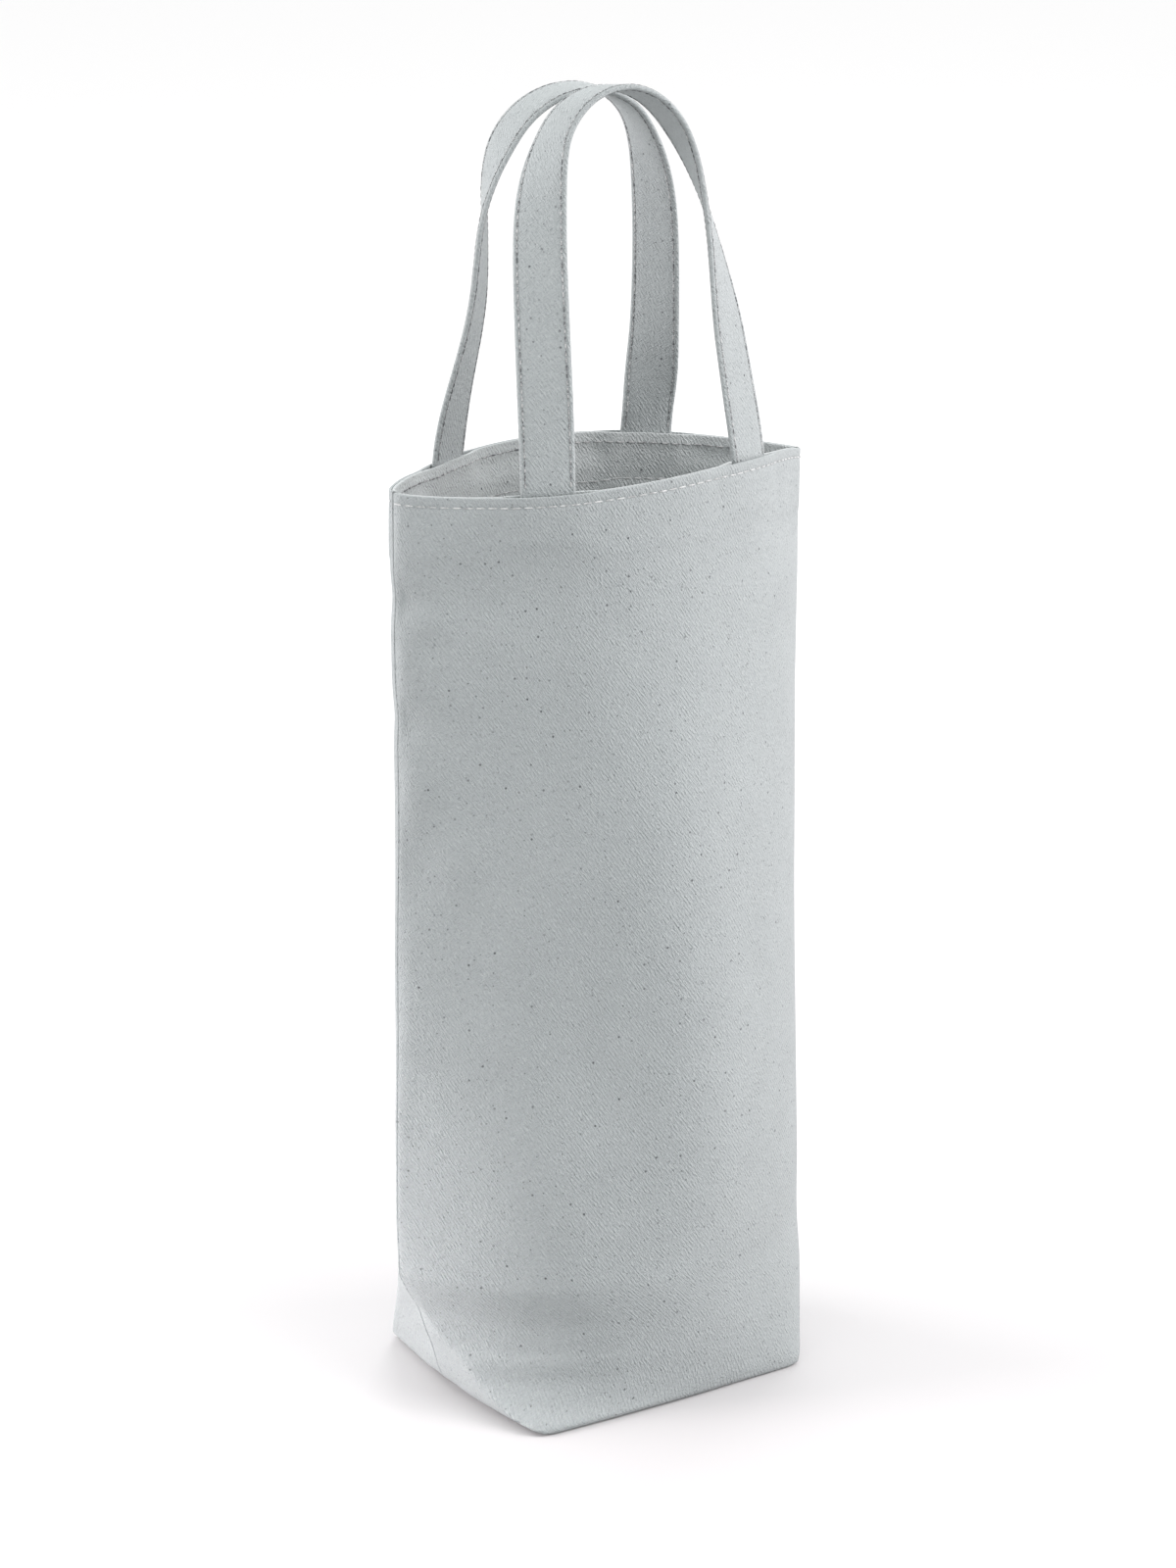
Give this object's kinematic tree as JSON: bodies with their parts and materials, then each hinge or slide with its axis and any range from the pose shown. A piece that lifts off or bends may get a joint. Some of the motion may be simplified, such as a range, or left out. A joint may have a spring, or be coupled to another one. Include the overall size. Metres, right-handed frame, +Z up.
{
  "type": "bottle carrier",
  "caption": "Tall boxed-base canvas bag that carries a bottle upright, with strap handles sewn into its faced mouth.",
  "frame": {"origin": "middle of the base, on the surface that the bag stands on", "axes": "+Z up, X along the mouth from side seam to side seam, front towards -Y"},
  "size_m": [0.1708, 0.11, 0.4695],
  "materials": {
    "canvas": "light grey twill canvas with small dark flecks",
    "strap": "folded twill canvas strap",
    "thread": "pale grey spun thread"
  },
  "bodies": {
    "bag": {"front_panel": "canvas", "rear_panel": "canvas", "front_facing": "canvas", "rear_facing": "canvas", "front_handle_left_end": "strap", "front_handle_right_end": "strap", "rear_handle_left_end": "strap", "rear_handle_right_end": "strap", "mouth_stitching": "thread", "front_facing_stitching": "thread", "rear_facing_stitching": "thread", "left_side_stitching": "thread", "right_side_stitching": "thread", "left_corner_stitching": "thread", "right_corner_stitching": "thread", "base_stitching": "thread"},
    "front_handle": {"front_handle": "strap", "front_handle_stitching": "thread"},
    "rear_handle": {"rear_handle": "strap", "rear_handle_stitching": "thread"}
  },
  "joints": [
    {"name": "front_handle_swing", "type": "hinge", "parent": "bag", "child": "front_handle", "pos_m": [0, -0.0372, 0.3394], "axis": [1, 0, 0], "range_deg": [0, 178]},
    {"name": "rear_handle_swing", "type": "hinge", "parent": "bag", "child": "rear_handle", "pos_m": [0, 0.0372, 0.3394], "axis": [-1, 0, 0], "range_deg": [0, 178]}
  ]
}
